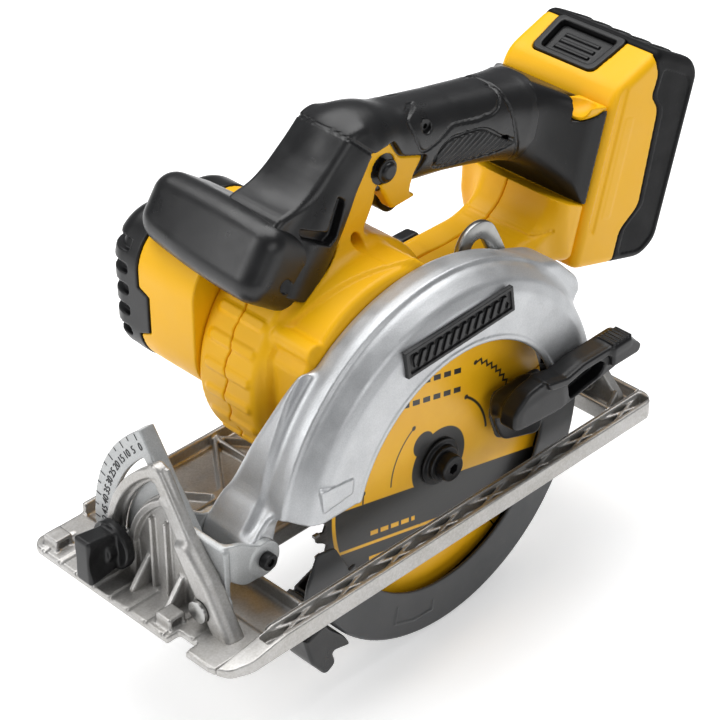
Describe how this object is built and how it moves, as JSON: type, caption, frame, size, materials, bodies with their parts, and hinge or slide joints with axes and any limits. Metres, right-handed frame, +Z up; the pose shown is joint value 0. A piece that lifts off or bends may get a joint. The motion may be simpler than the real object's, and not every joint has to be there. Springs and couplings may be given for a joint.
{
  "type": "cordless circular saw",
  "caption": "Cordless circular saw, blade on the left, swinging lower guard, tilting and depth-setting shoe, loop handle, auxiliary handle and slide-on battery.",
  "frame": {"origin": "on the sole plane, in the blade's middle plane, straight below the arbor", "axes": "+X the cutting direction, +Y the blade side (left), +Z up from the sole"},
  "size_m": [0.384, 0.174, 0.2627],
  "materials": {
    "yellow_plastic": "moulded satin",
    "black_plastic": "moulded satin",
    "soft_grip": "soft matt",
    "cast_silver": "die cast, painted silver",
    "shoe_metal": "die cast",
    "dark_guard": "dark grey paint",
    "zinc_steel": "zinc plated",
    "black_steel": "black oxide",
    "blade_paint": "coated steel",
    "carbide": "ground carbide",
    "gear_steel": "machined",
    "copper": "wound copper",
    "magnet_steel": "plated",
    "carbon": "pressed carbon",
    "cell_wrap": "shrink sleeve"
  },
  "bodies": {
    "shoe": {"shoe": "shoe_metal", "bevel_pins": "zinc_steel"},
    "bevel_frame": {"bevel_bracket": "cast_silver", "depth_strap": "zinc_steel", "depth_hinge_bolt": "black_steel", "depth_hinge_nut": "zinc_steel", "bevel_clamp_bolt": "zinc_steel", "bevel_washer": "zinc_steel"},
    "bevel_knob": {"bevel_knob": "black_plastic"},
    "saw_body": {"upper_guard": "cast_silver", "guard_badge": "black_plastic", "guard_spring": "gear_steel", "gear_case": "cast_silver", "spindle_bearing_blade_side": "gear_steel", "spindle_bearing_far_side": "gear_steel", "idler_shaft": "gear_steel", "magnet_can": "magnet_steel", "motor_bearing_front": "gear_steel", "motor_bearing_rear": "gear_steel", "brush_holder": "black_plastic", "carbon_brushes": "carbon", "motor_barrel": "yellow_plastic", "vent_cap": "black_plastic", "housing_left": "yellow_plastic", "housing_right": "yellow_plastic", "main_grip": "soft_grip", "rear_fairing": "black_plastic", "shell_screws": "black_steel", "grip_screws": "black_steel", "front_handle": "soft_grip", "switch_module": "black_plastic", "depth_clamp_bolt": "zinc_steel", "terminal_block": "black_plastic"},
    "arbor": {"saw_blade": "blade_paint", "carbide_tips": "carbide", "spindle": "gear_steel", "inner_flange": "black_steel", "outer_flange": "black_steel", "blade_bolt": "black_steel", "spindle_gear": "gear_steel"},
    "idler": {"idler_gear": "gear_steel"},
    "rotor": {"motor_shaft": "gear_steel", "armature": "copper", "commutator": "copper", "cooling_fan": "black_plastic", "motor_pinion": "gear_steel"},
    "lower_guard": {"lower_guard": "dark_guard", "guard_lever": "black_plastic", "guard_bumper": "soft_grip"},
    "trigger": {"trigger": "black_plastic"},
    "lock_off_button": {"lock_off_button": "black_plastic"},
    "depth_lever": {"depth_lever": "black_plastic"},
    "battery": {"battery_cover": "yellow_plastic", "battery_case": "black_plastic", "battery_cells": "cell_wrap"},
    "battery_latch": {"battery_latch": "black_plastic"}
  },
  "joints": [
    {"name": "bevel_tilt", "type": "hinge", "parent": "shoe", "child": "bevel_frame", "pos_m": [0.13, -0.008, 0.014], "axis": [-1, 0, 0], "range_deg": [0, 50]},
    {"name": "bevel_knob_turn", "type": "hinge", "parent": "bevel_frame", "child": "bevel_knob", "pos_m": [0.15, -0.06563, 0.02057], "axis": [1, 0, 0], "range_deg": [0, 180]},
    {"name": "depth_swing", "type": "hinge", "parent": "bevel_frame", "child": "saw_body", "pos_m": [0.112, -0.02, 0.0285], "axis": [0, 1, 0], "range_deg": [0, 26]},
    {"name": "blade_spin", "type": "hinge", "parent": "saw_body", "child": "arbor", "pos_m": [0, 0, 0.0254], "axis": [0, -1, 0], "continuous": true},
    {"name": "idler_spin", "type": "hinge", "parent": "saw_body", "child": "idler", "pos_m": [0.00969, -0.029, 0.06549], "axis": [0, -1, 0], "continuous": true},
    {"name": "motor_spin", "type": "hinge", "parent": "saw_body", "child": "rotor", "pos_m": [0.034, -0.085, 0.088], "axis": [0, -1, 0], "continuous": true},
    {"name": "lower_guard_swing", "type": "hinge", "parent": "saw_body", "child": "lower_guard", "pos_m": [0, 0, 0.0254], "axis": [0, 1, 0], "range_deg": [0, 100], "stiffness_Nm_per_rad": 0.25, "springref_deg": -57.3},
    {"name": "trigger_pull", "type": "slide", "parent": "saw_body", "child": "trigger", "axis": [0, 0, 1], "range_m": [0, 0.006], "stiffness_N_per_m": 500, "springref_m": -0.004},
    {"name": "lock_off_press", "type": "slide", "parent": "saw_body", "child": "lock_off_button", "axis": [0, 1, 0], "range_m": [-0.003, 0.003], "stiffness_N_per_m": 400},
    {"name": "depth_lever_turn", "type": "hinge", "parent": "saw_body", "child": "depth_lever", "pos_m": [-0.06783, -0.084, 0.03635], "axis": [0, 1, 0], "range_deg": [0, 60]},
    {"name": "battery_slide", "type": "slide", "parent": "saw_body", "child": "battery", "axis": [-0.2756, 0, 0.9613], "range_m": [0, 0.08]},
    {"name": "battery_latch_press", "type": "slide", "parent": "battery", "child": "battery_latch", "axis": [-0.3204, 0, -0.9473], "range_m": [0, 0.0025], "stiffness_N_per_m": 800, "springref_m": -0.002}
  ],
  "couplings": [
    {"joint": "idler_spin", "follows": "blade_spin", "ratio": -0.5},
    {"joint": "motor_spin", "follows": "blade_spin", "ratio": 2.4444}
  ]
}
